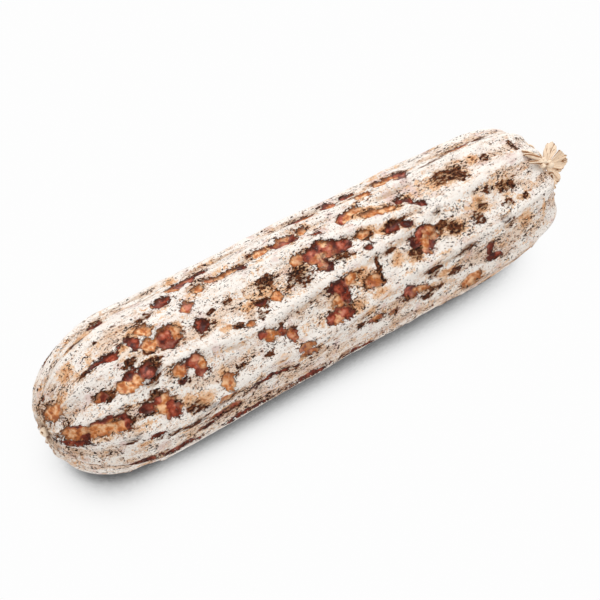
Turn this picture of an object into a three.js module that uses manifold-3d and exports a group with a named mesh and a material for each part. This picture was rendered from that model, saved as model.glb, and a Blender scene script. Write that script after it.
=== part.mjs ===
// A whole dry-cured sausage in its natural casing, lying on its side.
// Lengths are millimetres and angles are degrees unless a name says otherwise.
// The sausage lies along X with its near end at -X, and it rests on the plane z = 0.
// An angle around the sausage is 0 on top, 90 on the -Y side and 180 underneath.

import * as THREE from 'three';
import { mergeVertices } from 'three/addons/utils/BufferGeometryUtils.js';
import Module from 'manifold-3d';

const wasm = await Module();
wasm.setup();

// Filled body: radii of the straight part carried on to the two poles, and how far each round end reaches
const bodyLength = 240.8;
const nearRadius = 32.1;
const farRadius = 30;
const nearReach = 44.8;
const nearPower = 2.14;
const farReach = 94;
const farPower = 5.4;
const nearLift = 1.9;
const farLift = 3.9;
const sideBow = 1.9;
const pressedDepth = 0.7;

// Lengthwise ridges: the angle of each crest that shows, at these places along the sausage
const crestStations = [-105, -70, -35, 0, 35, 70, 105];
const shownCrests = [
  [-47, -53, -43, -46, -45, -53, -48],
  [-20, -22, -18, -25, -17, -16, -15],
  [16, 8, -1, -1, 9, 17, 13],
  [46, 32, 40, 34, 28, 20, 14],
  [70, 78, 70, 72, 60, 57, 54],
  [100, 110, 109, 107, 104, 101, 95],
];
const backCrests = [136, 164, 194, 225, 255, 284];
const backWander = 4;
const ridgeDepth = 1.7;
const ridgeHalfWidth = 6.2;
const crestRadius = 31.5;
const undersideHalfAngle = 16;

// Shallow hollows where the white bloom is missing and the meat shows: place, angle, half length, half width
const hollowDepth = 0.7;
const hollows = [
  [-89, 7, 8, 3],
  [-67, 17, 7, 4],
  [-51, 21, 4, 3],
  [-87, 30, 9, 4],
  [-60, 43, 5, 4],
  [-105, 58, 6, 5],
  [-78, 60, 6, 5.5],
  [-50, 65, 4, 4.5],
  [-41, -26, 6, 3.5],
  [-2, -14, 6, 3],
  [9, 11, 12, 4],
  [12, -30, 5, 3.5],
  [29, -7, 7, 3],
  [42, 5, 7, 2.5],
  [41, -23, 4, 4],
  [62, -30, 5, 6],
  [8, 41, 6, 3],
  [5, 62, 6, 4],
  [22, 54, 4, 3.5],
  [-28, 51, 5, 2.5],
  [-17, 59, 3, 3],
  [22, 86, 4, 2.5],
  [41, 76, 7, 4],
  [52, 37, 5, 4.5],
  [77, 0, 7, 5],
  [57, 5, 3, 4.5],
  [81, 34, 4, 5],
  [83, 79, 4, 5],
  [94, -32, 5, 3],
  [-55, 92, 8, 3],
];

// Slow uneven swelling of the filling: height, and the lengths of its waves along the sausage
const lumpHeight = 0.28;
const lumpLengths = [13, 19, 7.5, 23];

// Puckers at the poles, with fine pleats at the near one and coarse pleats at the far one.
// The ridges start at the plain radius, and they are full from the ridged radius on.
const nearPucker = {
  depth: 1.2, radius: 8, pleats: 20, height: 0.45, reach: 24, twist: 40, plainRadius: 3, ridgedRadius: 17,
};
const farPucker = {
  depth: 2, radius: 7, pleats: 10, height: 0.7, reach: 19, twist: -30, plainRadius: 9, ridgedRadius: 27,
};

// Mesh: faces around, and the spacing of the rings at the poles and along the body
const bodyFaces = 80;
const poleSpacing = 2.7;
const middleSpacing = 6.8;
const spacingReach = 45;
const firstRingArc = 2;
const profileSteps = 1500;
const profileCrowding = 4;

// Near end: the twisted bud that closes the casing
const budRadius = 1.9;
const budHeight = 2.7;
const budSink = 1.5;
const budGroove = 0.3;
const budSpiralTurns = 1.5;
const budFaces = 18;
const budRings = 6;

// Far end: gathered neck, its tie, and the dry casing that spreads beyond it
const neckStartRadius = 3.6;
const neckRadius = 1.25;
const neckLength = 8.2;
const neckSink = 4.3;
const neckPleats = 6;
const neckPleatDepth = 0.1;
const neckFaces = 24;
const neckRings = 8;
const neckTwist = 63;
const tiePlace = 5.7;
const tieThickness = 1.15;
const tieGap = 0.3;
const tieKnotRadius = 1.25;
const tieKnotAngle = 35;

// Gathered strands that run from the end face up to the neck: angle and distance from the pole
const strands = [
  { angle: 0, from: 18.5, radius: 1.5 },
  { angle: 9, from: 13.5, radius: 1.3 },
  { angle: -38, from: 15, radius: 1.3 },
  { angle: 150, from: 9, radius: 1.2 },
];
const strandFaces = 10;
const strandSteps = 6;
const strandSink = 0.9;
const strandBulge = 1.9;
const strandNarrowing = 0.45;
const strandEndOffset = 0.3;
const strandEndBeforeTie = 1.2;

// Dry casing beyond the tie: sheets that fan out from the neck's end in one slanting plane.
// A turn is measured in that plane from its rightward axis, and a lean bends a sheet towards the plane's front.
// A side runs from -1 to 1 across a sheet, and its edge is rounded off on both sides of the peak.
const sheetRight = new THREE.Vector3(0.816, -0.578, 0);
const sheetUp = new THREE.Vector3(0.443, 0.625, 0.643);
const sheetFront = new THREE.Vector3(-0.371, -0.525, 0.766);
const sheetThickness = 0.6;
const sheetRoot = 0.5;
const sheets = [
  {
    turn: 21, halfAngle: 31, length: 9.6, peak: 0.5, rounding: 0.1,
    lean: 16, waves: 2.6, wave: 0.9, rows: 6, columns: 18,
  },
  {
    turn: 76, halfAngle: 24, length: 10.4, peak: -0.3, rounding: 0.3,
    lean: -14, waves: 1.6, wave: 0.6, rows: 6, columns: 10,
  },
  {
    turn: 44, halfAngle: 36, length: 7.2, peak: 0.2, rounding: 0.15,
    lean: -58, waves: 2.2, wave: 0.8, rows: 5, columns: 14,
  },
  {
    turn: -46, halfAngle: 24, length: 9.7, peak: -1.2, rounding: 0.08,
    lean: 22, waves: 1.4, wave: 0.5, rows: 5, columns: 8,
  },
  {
    turn: -68, halfAngle: 4, length: 10.4, peak: 0, rounding: 0,
    lean: 6, waves: 0.4, wave: 0.3, rows: 6, columns: 2,
  },
];

const sliverSize = 0.03;

const radians = Math.PI / 180;
const clamp = THREE.MathUtils.clamp;
const smoothstep = THREE.MathUtils.smoothstep;

// How full a round end is at a distance from its pole
function endFullness(distance, reach, power) {
  const left = 1 - clamp(distance / reach, 0, 1);
  return (1 - left ** power) ** (1 / power);
}

function straightRadius(x) {
  return nearRadius + (farRadius - nearRadius) * (x / bodyLength + 0.5);
}

function bodyRadius(x) {
  const near = endFullness(x + bodyLength / 2, nearReach, nearPower);
  const far = endFullness(bodyLength / 2 - x, farReach, farPower);
  return straightRadius(x) * near * far;
}

function axisHeight(x) {
  const part = (2 * x) / bodyLength;
  const lift = x < 0 ? nearLift : farLift;
  return straightRadius(x) - pressedDepth + lift * clamp((Math.abs(part) - 0.5) / 0.5, 0, 1) ** 2;
}

function axisBow(x) {
  return sideBow * (1 - ((2 * x) / bodyLength) ** 2);
}

// Smooth curve through values that are given at the crest stations
function crestAngle(values, x) {
  const step = crestStations[1] - crestStations[0];
  const place = clamp((x - crestStations[0]) / step, 0, values.length - 1.001);
  const index = Math.floor(place);
  const part = place - index;
  const before = values[Math.max(index - 1, 0)];
  const start = values[index];
  const end = values[index + 1];
  const after = values[Math.min(index + 2, values.length - 1)];
  const startSlope = (end - before) / 2;
  const endSlope = (after - start) / 2;
  const curve = (2 * start - 2 * end + startSlope + endSlope) * part ** 3
    + (3 * end - 3 * start - 2 * startSlope - endSlope) * part ** 2;
  return curve + startSlope * part + start;
}

function crestAngles(x) {
  const shown = shownCrests.map((values) => crestAngle(values, x));
  const back = backCrests.map((angle, index) => angle + backWander * Math.sin(x / 34 + 1.9 * index));
  return [...shown, ...back];
}

function angleBetween(first, second) {
  return Math.abs(((first - second + 540) % 360) - 180);
}

// One on a crest, falling to nearly zero between two ridges
function crestField(x, angle) {
  let highest = 0;
  for (const crest of crestAngles(x)) {
    const away = angleBetween(angle, crest) * radians * crestRadius;
    highest = Math.max(highest, Math.exp(-((away / ridgeHalfWidth) ** 2)));
  }
  return highest;
}

function hollowField(x, angle) {
  let deepest = 0;
  for (const [place, middle, halfLength, halfWidth] of hollows) {
    const along = (x - place) / halfLength;
    const across = (angleBetween(angle, middle) * radians * crestRadius) / halfWidth;
    deepest = Math.max(deepest, Math.exp(-((along ** 2 + across ** 2) ** 2)));
  }
  return deepest;
}

function lumpField(x, angle) {
  const turn = angle * radians;
  const [first, second, third, fourth] = lumpLengths;
  return Math.sin(x / first + 2 * Math.sin(2 * turn)) * Math.sin(3 * turn + x / second)
    + 0.6 * Math.sin(x / third + 1.3 * Math.cos(3 * turn)) * Math.cos(5 * turn - x / fourth);
}

function puckerRelief(pucker, radius, angle) {
  const fade = smoothstep(radius, 1, 5) * (1 - smoothstep(radius, 0.4 * pucker.reach, pucker.reach));
  const twist = pucker.twist * (1 - radius / pucker.reach);
  const pleat = Math.cos(pucker.pleats * (angle + twist) * radians);
  return fade * pucker.height * pleat - pucker.depth * Math.exp(-((radius / pucker.radius) ** 2));
}

// Height of the surface above the plain body, measured square to it
function relief(x, radius, angle) {
  const pucker = x < 0 ? nearPucker : farPucker;
  const underside = Math.exp(-((angleBetween(angle, 180) / undersideHalfAngle) ** 2));
  const along = smoothstep(radius, pucker.plainRadius, pucker.ridgedRadius);
  const ridge = -ridgeDepth * (1 - crestField(x, angle)) * (1 - underside);
  const body = ridge - hollowDepth * hollowField(x, angle) + lumpHeight * lumpField(x, angle);
  const end = Math.abs(x) > bodyLength / 4 ? puckerRelief(pucker, radius, angle) : 0;
  return along * body + end;
}

// Ring of points turning right-handed about a direction, from its upper side
function ringAround(middle, direction, radiusAt, faceCount) {
  const side = new THREE.Vector3().crossVectors(direction, new THREE.Vector3(0, 0, 1)).normalize();
  const upper = new THREE.Vector3().crossVectors(side, direction).normalize();
  const ring = [];
  for (let face = 0; face < faceCount; face += 1) {
    const turn = (face / faceCount) * 2 * Math.PI;
    const radius = radiusAt(turn);
    ring.push(middle.clone()
      .addScaledVector(upper, radius * Math.cos(turn))
      .addScaledVector(side, radius * Math.sin(turn)));
  }
  return ring;
}

// Closed skin over rings of points, from a start point through the rings to an end point
function loft(rings, startPoint, endPoint) {
  const count = rings[0].length;
  const points = [startPoint, ...rings.flat(), endPoint];
  const lastRing = rings.length - 1;
  const at = (ring, side) => 1 + ring * count + (side % count);
  const faces = [];
  for (let side = 0; side < count; side += 1) {
    faces.push(0, at(0, side + 1), at(0, side));
    faces.push(points.length - 1, at(lastRing, side), at(lastRing, side + 1));
    for (let ring = 0; ring < lastRing; ring += 1) {
      faces.push(at(ring, side), at(ring, side + 1), at(ring + 1, side + 1));
      faces.push(at(ring, side), at(ring + 1, side + 1), at(ring + 1, side));
    }
  }
  const geometry = new THREE.BufferGeometry().setFromPoints(points);
  geometry.setIndex(faces);
  return geometry;
}

// Thin wavy solid over a grid of points, its two faces split into triangles alike
function leaf(pointAt, rows, columns, thickness) {
  const front = [];
  const back = [];
  const small = 0.001;
  for (let row = 0; row <= rows; row += 1) {
    for (let column = 0; column <= columns; column += 1) {
      const along = row / rows;
      const across = (2 * column) / columns - 1;
      const point = pointAt(along, across);
      const alongEdge = pointAt(along + small, across).sub(point);
      const acrossEdge = pointAt(along, across + small).sub(point);
      const normal = new THREE.Vector3().crossVectors(acrossEdge, alongEdge).normalize();
      front.push(point.clone().addScaledVector(normal, thickness / 2));
      back.push(point.clone().addScaledVector(normal, -thickness / 2));
    }
  }
  const width = columns + 1;
  const offset = front.length;
  const faces = [];
  for (let row = 0; row < rows; row += 1) {
    for (let column = 0; column < columns; column += 1) {
      const corner = row * width + column;
      faces.push(corner, corner + 1, corner + width + 1, corner, corner + width + 1, corner + width);
      const under = corner + offset;
      faces.push(under, under + width + 1, under + 1, under, under + width, under + width + 1);
    }
  }
  const rim = [];
  for (let column = 0; column < columns; column += 1) rim.push(column);
  for (let row = 0; row < rows; row += 1) rim.push(row * width + columns);
  for (let column = columns; column > 0; column -= 1) rim.push(rows * width + column);
  for (let row = rows; row > 0; row -= 1) rim.push(row * width);
  rim.forEach((here, index) => {
    const next = rim[(index + 1) % rim.length];
    faces.push(here, here + offset, next + offset, here, next + offset, next);
  });
  const geometry = new THREE.BufferGeometry().setFromPoints([...front, ...back]);
  geometry.setIndex(faces);
  return geometry;
}

function solidOf(geometry) {
  const plain = geometry.clone();
  plain.deleteAttribute('normal');
  plain.deleteAttribute('uv');
  const merged = mergeVertices(plain, 1e-5);
  const vertProperties = new Float32Array(merged.attributes.position.array);
  const triVerts = new Uint32Array(merged.index.array);
  return new wasm.Manifold(new wasm.Mesh({ numProp: 3, vertProperties, triVerts }));
}

// One solid out of touching pieces, without the slivers and the small sealed hollows that joining them leaves
function joined(geometries) {
  const whole = geometries.map(solidOf).reduce((sum, piece) => sum.add(piece)).simplify(sliverSize);
  return whole.decompose().reduce((largest, piece) => (piece.volume() > largest.volume() ? piece : largest));
}

function geometryOf(solid) {
  const { vertProperties, triVerts } = solid.getMesh();
  const geometry = new THREE.BufferGeometry();
  geometry.setAttribute('position', new THREE.BufferAttribute(new Float32Array(vertProperties), 3));
  geometry.setIndex(new THREE.BufferAttribute(new Uint32Array(triVerts), 1));
  geometry.computeVertexNormals();
  return geometry;
}

// Points along the plain body's outline from pole to pole, crowded towards the poles
function bodyProfile() {
  const profile = [];
  const add = (x) => profile.push([x, bodyRadius(x)]);
  for (let step = 0; step <= profileSteps; step += 1) {
    add(-bodyLength / 2 + nearReach * (step / profileSteps) ** profileCrowding);
  }
  const straightStart = -bodyLength / 2 + nearReach;
  const straightEnd = bodyLength / 2 - farReach;
  for (let step = 1; step < profileSteps; step += 1) {
    add(straightStart + (straightEnd - straightStart) * (step / profileSteps));
  }
  for (let step = profileSteps; step >= 0; step -= 1) {
    add(bodyLength / 2 - farReach * (step / profileSteps) ** profileCrowding);
  }
  return profile;
}

// Places of the rings as lengths along the outline, closer together towards the poles
function ringArcs(whole) {
  const arcs = [firstRingArc];
  let last = firstRingArc;
  while (last < whole - firstRingArc) {
    const fromPole = Math.min(last, whole - last);
    last += poleSpacing + (middleSpacing - poleSpacing) * smoothstep(fromPole, 0, spacingReach);
    arcs.push(last);
  }
  const stretch = (whole - 2 * firstRingArc) / (last - firstRingArc);
  return arcs.map((arc) => firstRingArc + (arc - firstRingArc) * stretch);
}

function bodyRings() {
  const profile = bodyProfile();
  const arc = [0];
  for (let step = 1; step < profile.length; step += 1) {
    const [x, radius] = profile[step];
    const [lastX, lastRadius] = profile[step - 1];
    arc.push(arc[step - 1] + Math.hypot(x - lastX, radius - lastRadius));
  }
  let step = 1;
  return ringArcs(arc[arc.length - 1]).map((wanted) => {
    while (arc[step] < wanted && step < profile.length - 2) step += 1;
    const [x, radius] = profile[step];
    const run = profile[step + 1][0] - profile[step - 1][0];
    const rise = profile[step + 1][1] - profile[step - 1][1];
    const slant = Math.hypot(run, rise);
    return { x, radius, outX: -rise / slant, outRadius: run / slant };
  });
}

// Point on the skin, pressed flat where it would pass below the surface that it rests on
function bodyPoint(ring, angle) {
  const height = relief(ring.x, ring.radius, angle);
  const radius = ring.radius + height * ring.outRadius;
  const turn = angle * radians;
  const y = axisBow(ring.x) - radius * Math.sin(turn);
  const z = axisHeight(ring.x) + radius * Math.cos(turn);
  return new THREE.Vector3(ring.x + height * ring.outX, y, Math.max(z, 0));
}

function polePoint(x, depth) {
  const inward = x < 0 ? depth : -depth;
  return new THREE.Vector3(x + inward, axisBow(x), axisHeight(x));
}

function bodyGeometry() {
  const rings = bodyRings().map((ring) => {
    const points = [];
    for (let face = 0; face < bodyFaces; face += 1) points.push(bodyPoint(ring, (face / bodyFaces) * 360));
    return points;
  });
  const nearPole = polePoint(-bodyLength / 2, nearPucker.depth);
  const farPole = polePoint(bodyLength / 2, farPucker.depth);
  return loft(rings, nearPole, farPole);
}

// Twisted bud at the near pole: a low dome with a spiral groove
function budGeometry() {
  const pole = polePoint(-bodyLength / 2, nearPucker.depth);
  const outward = new THREE.Vector3(-1, 0, 0);
  const rings = [];
  for (let ring = 0; ring < budRings; ring += 1) {
    const part = ring / budRings;
    const lift = -budSink + (budHeight + budSink) * Math.sin((part * Math.PI) / 2);
    const rounding = Math.cos((part * Math.PI) / 2) ** 0.6;
    const middle = pole.clone().addScaledVector(outward, lift);
    const spiral = part * budSpiralTurns * 2 * Math.PI;
    const radiusAt = (turn) => budRadius * rounding - budGroove * part * Math.cos(turn * 2 - spiral);
    rings.push(ringAround(middle, outward, radiusAt, budFaces));
  }
  const top = pole.clone().addScaledVector(outward, budHeight - budGroove);
  const bottom = pole.clone().addScaledVector(outward, -budSink);
  return loft(rings, bottom, top);
}

const farPole = polePoint(bodyLength / 2, 0);
const neckDirection = new THREE.Vector3(1, 0, 0);

// Gathered neck: wide and pleated where it leaves the end face, tight under the tie
function neckGeometry() {
  const rings = [];
  for (let ring = 0; ring <= neckRings; ring += 1) {
    const part = ring / neckRings;
    const place = -neckSink + (neckLength + neckSink) * part;
    const gathered = smoothstep(place, -farPucker.depth, tiePlace - 1.5);
    const radius = neckStartRadius + (neckRadius - neckStartRadius) * gathered;
    const middle = farPole.clone().addScaledVector(neckDirection, place);
    const twist = neckTwist * radians * part;
    const radiusAt = (turn) => radius * (1 + neckPleatDepth * Math.cos(neckPleats * (turn + twist)));
    rings.push(ringAround(middle, neckDirection, radiusAt, neckFaces));
  }
  const start = farPole.clone().addScaledVector(neckDirection, -neckSink);
  const end = farPole.clone().addScaledVector(neckDirection, neckLength + 0.2);
  return loft(rings, start, end);
}

// How far the far end face has fallen back from the pole at a distance from the axis
function farFaceFall(distance) {
  return farReach * (1 - (1 - (distance / farRadius) ** farPower) ** (1 / farPower));
}

// One gathered strand: a round cord of casing from the end face up to the neck
function strandGeometry(strand) {
  const turn = strand.angle * radians;
  const outward = new THREE.Vector3(0, -Math.sin(turn), Math.cos(turn));
  const pointAt = (distance, beyond) => farPole.clone()
    .addScaledVector(outward, distance)
    .addScaledVector(neckDirection, beyond);
  const start = pointAt(strand.from, -strandSink - farFaceFall(strand.from));
  const end = pointAt(strandEndOffset, tiePlace - strandEndBeforeTie);
  const bend = start.clone().lerp(end, 0.5).addScaledVector(neckDirection, strandBulge);
  const curve = new THREE.QuadraticBezierCurve3(start, bend, end);
  const rings = [];
  for (let step = 0; step <= strandSteps; step += 1) {
    const part = step / strandSteps;
    const radius = strand.radius * (1 - strandNarrowing * part ** 2);
    rings.push(ringAround(curve.getPoint(part), curve.getTangent(part), () => radius, strandFaces));
  }
  return loft(rings, start, end);
}

// Sheet of dry casing that fans out from the end of the neck in waves, with a lobed edge
function sheetGeometry(sheet) {
  const root = farPole.clone().addScaledVector(neckDirection, neckLength - 0.2);
  const pointAt = (along, side) => {
    const turn = (sheet.turn + sheet.halfAngle * side) * radians;
    const edge = 1 - sheet.rounding * (side - sheet.peak) ** 2;
    const reach = sheetRoot + (sheet.length * edge - sheetRoot) * along;
    const lean = sheet.lean * radians * along;
    const wave = sheet.wave * along ** 2 * Math.sin(sheet.waves * Math.PI * side + 1.5 * along);
    return root.clone()
      .addScaledVector(sheetRight, reach * Math.cos(lean) * Math.cos(turn))
      .addScaledVector(sheetUp, reach * Math.cos(lean) * Math.sin(turn))
      .addScaledVector(sheetFront, reach * Math.sin(lean) + wave);
  };
  return leaf(pointAt, sheet.rows, sheet.columns, sheetThickness);
}

// Tie round the neck: a ring with a small knot on the side that faces up and out
function tieGeometries() {
  const middle = farPole.clone().addScaledVector(neckDirection, tiePlace);
  const inner = neckRadius * (1 + neckPleatDepth) + tieGap;
  const ring = new THREE.TorusGeometry(inner + tieThickness / 2, tieThickness / 2, 8, 24);
  ring.rotateY(Math.PI / 2);
  ring.translate(middle.x, middle.y, middle.z);
  const knot = new THREE.SphereGeometry(tieKnotRadius, 14, 10);
  const knotTurn = tieKnotAngle * radians;
  const away = inner + tieKnotRadius;
  knot.translate(middle.x, middle.y - away * Math.sin(knotTurn), middle.z + away * Math.cos(knotTurn));
  return [ring, knot];
}

const bloomMaterial = new THREE.MeshStandardMaterial({ color: 0xe6dfd4, roughness: 0.9, metalness: 0 });
const twineMaterial = new THREE.MeshStandardMaterial({ color: 0xe2c9a4, roughness: 0.8, metalness: 0 });

function namedMesh(name, solid, material) {
  const mesh = new THREE.Mesh(geometryOf(solid), material);
  mesh.name = name;
  return mesh;
}

function sausageSolid() {
  const strandSolids = strands.map(strandGeometry);
  const sheetSolids = sheets.map(sheetGeometry);
  return joined([bodyGeometry(), budGeometry(), neckGeometry(), ...strandSolids, ...sheetSolids]);
}

const sausage = namedMesh('sausage', sausageSolid(), bloomMaterial);
const tie = namedMesh('tie', joined(tieGeometries()), twineMaterial);

// The origin is under the middle of the whole length and width, on the resting plane
const group = new THREE.Group();
group.add(sausage, tie);
const box = new THREE.Box3().setFromObject(group);
const middle = box.getCenter(new THREE.Vector3());
for (const mesh of group.children) mesh.geometry.translate(-middle.x, -middle.y, -box.min.z);

export default group;
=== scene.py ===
# Looks of a whole dry-cured sausage: powdery white bloom over a natural casing, bare spots of glossy meat,
# a twisted bud at the near end and a tied tuft of dry casing at the far end.
# Shapes are worked out in millimetres along the filled body, then written in metres in the solids' frame.
# An angle around the sausage is 0 on top, 90 on the -Y side and 180 underneath.

import math

import bpy
import numpy as np
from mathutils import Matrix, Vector


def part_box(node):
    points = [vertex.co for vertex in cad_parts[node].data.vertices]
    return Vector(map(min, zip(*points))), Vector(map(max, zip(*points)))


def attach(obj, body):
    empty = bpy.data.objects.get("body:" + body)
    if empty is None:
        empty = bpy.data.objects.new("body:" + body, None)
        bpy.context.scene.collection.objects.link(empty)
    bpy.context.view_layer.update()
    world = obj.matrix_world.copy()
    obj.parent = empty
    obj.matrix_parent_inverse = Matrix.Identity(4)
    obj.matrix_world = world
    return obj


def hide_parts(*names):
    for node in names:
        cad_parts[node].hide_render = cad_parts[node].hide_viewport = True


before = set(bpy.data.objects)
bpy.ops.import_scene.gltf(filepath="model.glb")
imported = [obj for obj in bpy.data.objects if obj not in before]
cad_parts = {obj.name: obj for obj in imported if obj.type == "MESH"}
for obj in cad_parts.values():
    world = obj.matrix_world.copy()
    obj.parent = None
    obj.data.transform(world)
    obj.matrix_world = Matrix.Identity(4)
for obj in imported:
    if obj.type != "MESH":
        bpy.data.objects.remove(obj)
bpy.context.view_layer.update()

TO_METRES = 0.001
TO_MILLIMETRES = 1000

# The filled body, as in the solids
BODY_LENGTH = 240.8
NEAR_RADIUS = 32.1
FAR_RADIUS = 30.0
NEAR_REACH = 44.8
NEAR_POWER = 2.14
FAR_REACH = 94.0
FAR_POWER = 5.4
NEAR_LIFT = 1.9
FAR_LIFT = 3.9
SIDE_BOW = 1.9
PRESSED_DEPTH = 0.7

# The bud's tip is the lowest X of the solid, this far before the middle of the filled body
BUD_TIP = 121.757
MIDDLE_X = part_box("sausage")[0][0] * TO_MILLIMETRES + BUD_TIP
MIDDLE_Y = -1.34

# Lengthwise ridges: the angle of each crest that shows, at these places along the sausage
CREST_STATIONS = [-105, -70, -35, 0, 35, 70, 105]
SHOWN_CRESTS = [
    [-47, -53, -43, -46, -45, -53, -48],
    [-20, -22, -18, -25, -17, -16, -15],
    [16, 8, -1, -1, 9, 17, 13],
    [46, 32, 40, 34, 28, 20, 14],
    [70, 78, 70, 72, 60, 57, 54],
    [100, 110, 109, 107, 104, 101, 95],
]
BACK_CRESTS = [136, 164, 194, 225, 255, 284]
BACK_WANDER = 4.0
RIDGE_DEPTH = 1.7
RIDGE_HALF_WIDTH = 6.2
CREST_RADIUS = 31.5
UNDERSIDE_HALF_ANGLE = 16.0

NEAR_PUCKER = {
    "depth": 1.2, "radius": 8.0, "pleats": 20, "height": 0.45, "reach": 24.0, "twist": 40.0,
    "plain_radius": 3.0, "ridged_radius": 17.0,
}
FAR_PUCKER = {
    "depth": 2.0, "radius": 7.0, "pleats": 10, "height": 0.7, "reach": 19.0, "twist": -30.0,
    "plain_radius": 9.0, "ridged_radius": 27.0,
}

# Bare spots that show: place along, angle, half length, half width in millimetres,
# and kind, from 0 for dark lean meat through red and pink to 1 for peach-coloured fat
BARE_SPOTS = [
    (-114, 52, 4.5, 2.8, 0.9), (-106, 57, 5.0, 3.4, 0.95), (-100, 59, 3.5, 3.2, 0.85),
    (-112, 61, 3.0, 2.2, 0.1), (-106, 51, 3.5, 1.8, 0.1), (-96, 59, 1.6, 2.4, 0.15),
    (-103, 50, 3.2, 1.5, 0.05), (-97, 53, 2.2, 1.8, 0.05), (-113, 47, 2.2, 1.2, 0.05),
    (-117, 8, 2.6, 4.5, 0.95), (-91, 31, 3.4, 3.4, 0.95), (-87, 26, 3.0, 2.2, 0.05),
    (-86, 31, 2.6, 3.0, 0.85), (-80, 29, 3.4, 3.4, 0.15), (-101, 32, 2.2, 2.0, 0.3),
    (-92, 5, 6.5, 1.7, 0.05), (-89, 7, 3.0, 2.6, 0.2), (-80, 6, 2.8, 3.4, 0.1),
    (-73, 2, 2.6, 2.8, 0.95), (-85, -32, 3.5, 3.0, 0.15), (-59, -15, 4.0, 2.0, 0.35),
    (-51, -23, 3.5, 3.2, 0.85), (-47, -25, 3.5, 3.5, 0.2), (-42, -24, 3.0, 3.8, 0.35),
    (-37, -25, 2.5, 2.5, 0.1), (-43, -9, 2.6, 2.0, 0.9), (-52, 1, 3.2, 2.8, 0.7),
    (-36, -12, 2.0, 1.5, 0.6), (-30, -11, 5.0, 1.6, 0.75), (-23, -9, 2.5, 1.4, 0.2),
    (-12, -14, 3.5, 2.2, 0.9), (-74, 14, 3.2, 2.6, 0.95), (-68, 15, 3.6, 3.6, 0.35),
    (-64, 14, 4.0, 3.8, 0.3), (-66, 21, 2.5, 2.0, 0.2), (-51, 20, 3.4, 2.6, 0.1),
    (-68, 40, 2.6, 3.0, 0.8), (-64, 40, 1.6, 2.6, 0.1), (-60, 42, 3.6, 4.4, 0.5),
    (-60, 48, 3.0, 3.0, 0.35), (-68, 48, 1.8, 1.4, 0.05), (-86, 54, 3.0, 2.2, 0.15),
    (-80, 54, 3.4, 3.4, 0.4), (-79, 60, 4.4, 3.4, 0.55), (-76, 67, 4.4, 3.0, 0.35),
    (-86, 78, 2.8, 1.8, 0.25), (-51, 66, 3.6, 3.8, 0.7), (-53, 77, 3.6, 1.6, 0.5),
    (-58, 92, 4.0, 1.5, 0.5), (-50, 92, 2.5, 1.6, 0.4), (-30, 84, 8.5, 1.0, 0.0),
    (-14, 72, 4.0, 2.0, 0.75), (-13, 80, 4.5, 1.8, 0.4), (-28, 49, 3.2, 2.8, 0.75),
    (-31, 47, 1.5, 1.8, 0.1), (-22, 52, 2.0, 2.4, 0.25), (-18, 58, 2.6, 3.0, 0.35),
    (-34, 36, 1.8, 1.8, 0.8), (-25, 25, 2.6, 1.2, 0.1), (-18, 26, 2.6, 2.4, 0.85),
    (13, -30, 5.5, 3.0, 0.25), (27, -31, 3.0, 4.0, 0.5), (36, -35, 3.0, 2.4, 0.3),
    (-1, -13, 6.5, 3.2, 0.35), (9, -16, 2.0, 1.7, 0.8), (12, -5, 1.6, 1.4, 0.25),
    (27, -6, 4.0, 3.0, 0.45), (32, -8, 4.0, 2.2, 0.85), (37, 0, 4.0, 2.0, 0.9),
    (43, 3, 5.0, 2.2, 0.9), (41, -20, 4.0, 3.2, 0.85), (51, -28, 4.0, 4.0, 0.55),
    (60, -24, 3.6, 4.0, 0.3), (59, -31, 5.0, 3.0, 0.25), (89, -26, 5.5, 2.4, 0.6),
    (8, 11, 8.5, 4.2, 0.3), (16, 13, 5.0, 3.2, 0.25), (11, 7, 1.6, 1.4, 0.95),
    (-2, 8, 3.0, 2.0, 0.9), (6, 22, 3.2, 2.6, 0.1), (28, 14, 3.5, 1.8, 0.85),
    (41, 21, 2.6, 2.2, 0.2), (46, 22, 1.8, 2.0, 0.15), (27, 25, 1.8, 1.8, 0.1),
    (51, 1, 1.8, 2.4, 0.1), (54, 6, 1.8, 4.0, 0.15), (57, 13, 2.2, 1.8, 0.05),
    (52, 38, 5.5, 5.0, 0.2), (52, 39, 2.8, 2.8, 0.95), (46, 38, 2.0, 2.6, 0.1),
    (49, 48, 2.0, 1.8, 0.8), (7, 42, 4.6, 3.2, 0.1), (10, 50, 1.8, 4.0, 0.05),
    (14, 40, 3.0, 2.2, 0.85), (22, 50, 4.2, 3.2, 0.75), (5, 52, 3.0, 2.0, 0.85),
    (3, 62, 6.2, 3.6, 0.3), (4, 61, 2.4, 2.0, 0.85), (20, 83, 4.2, 2.0, 0.5),
    (28, 86, 2.2, 1.4, 0.6), (36, 73, 3.0, 2.8, 0.15), (40, 78, 4.2, 2.6, 0.5),
    (44, 79, 3.0, 2.0, 0.25), (68, 96, 4.5, 3.0, 0.85), (78, 74, 2.2, 3.0, 0.1),
    (80, 84, 3.8, 2.0, 0.2), (-62, 98, 4.0, 1.0, 0.15), (-76, 106, 7.0, 1.4, 0.15),
    (10, 107, 9.0, 1.6, 0.15), (33, 106, 8.0, 1.6, 0.2), (60, 107, 12.0, 1.5, 0.1),
    (-115, 68, 5.0, 0.9, 0.0), (-117, -25, 1.0, 2.0, 0.2), (-44, 107, 9.0, 1.2, 0.1),
    (-93, 103, 8.0, 1.2, 0.15), (-14, 105, 8.0, 1.2, 0.15),
]

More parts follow.
